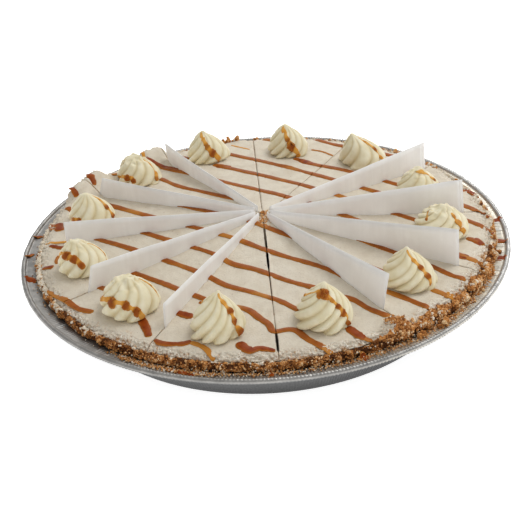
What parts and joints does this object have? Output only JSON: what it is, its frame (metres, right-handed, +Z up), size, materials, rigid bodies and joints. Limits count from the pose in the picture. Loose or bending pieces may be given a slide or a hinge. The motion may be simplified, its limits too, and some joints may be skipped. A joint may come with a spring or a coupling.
{
  "type": "bananas foster pie",
  "caption": "Round cream pie in a foil tin: crumb crust, domed filling with caramel ribbons, piped cream swirls, cut in slices with paper sheets between.",
  "frame": {"origin": "centre of the tin's underside, on the surface it stands on", "axes": "+Z up out of the pie, -Y towards the viewer, +X to the viewer's right"},
  "size_m": [0.26, 0.26, 0.0547],
  "materials": {
    "foil": "satin pressed foil",
    "crumb_crust": "matt, crumbly",
    "cream_filling": "soft matt",
    "piped_cream": "soft satin",
    "caramel": "smooth, slightly glossy",
    "paper": "thin translucent sheet"
  },
  "bodies": {
    "root": {"tin": "foil", "crust_01": "crumb_crust", "crust_02": "crumb_crust", "crust_03": "crumb_crust", "crust_04": "crumb_crust", "crust_05": "crumb_crust", "crust_06": "crumb_crust", "crust_07": "crumb_crust", "crust_08": "crumb_crust", "crust_09": "crumb_crust", "crust_10": "crumb_crust", "crust_11": "crumb_crust", "crust_12": "crumb_crust", "filling_01": "cream_filling", "filling_02": "cream_filling", "filling_03": "cream_filling", "filling_04": "cream_filling", "filling_05": "cream_filling", "filling_06": "cream_filling", "filling_07": "cream_filling", "filling_08": "cream_filling", "filling_09": "cream_filling", "filling_10": "cream_filling", "filling_11": "cream_filling", "filling_12": "cream_filling", "rosette_01": "piped_cream", "rosette_02": "piped_cream", "rosette_03": "piped_cream", "rosette_04": "piped_cream", "rosette_05": "piped_cream", "rosette_06": "piped_cream", "rosette_07": "piped_cream", "rosette_08": "piped_cream", "rosette_09": "piped_cream", "rosette_10": "piped_cream", "rosette_11": "piped_cream", "rosette_12": "piped_cream", "paper_01": "paper", "paper_02": "paper", "paper_03": "paper", "paper_04": "paper", "paper_05": "paper", "paper_06": "paper", "paper_07": "paper", "paper_08": "paper", "paper_09": "paper"}
  },
  "joints": []
}
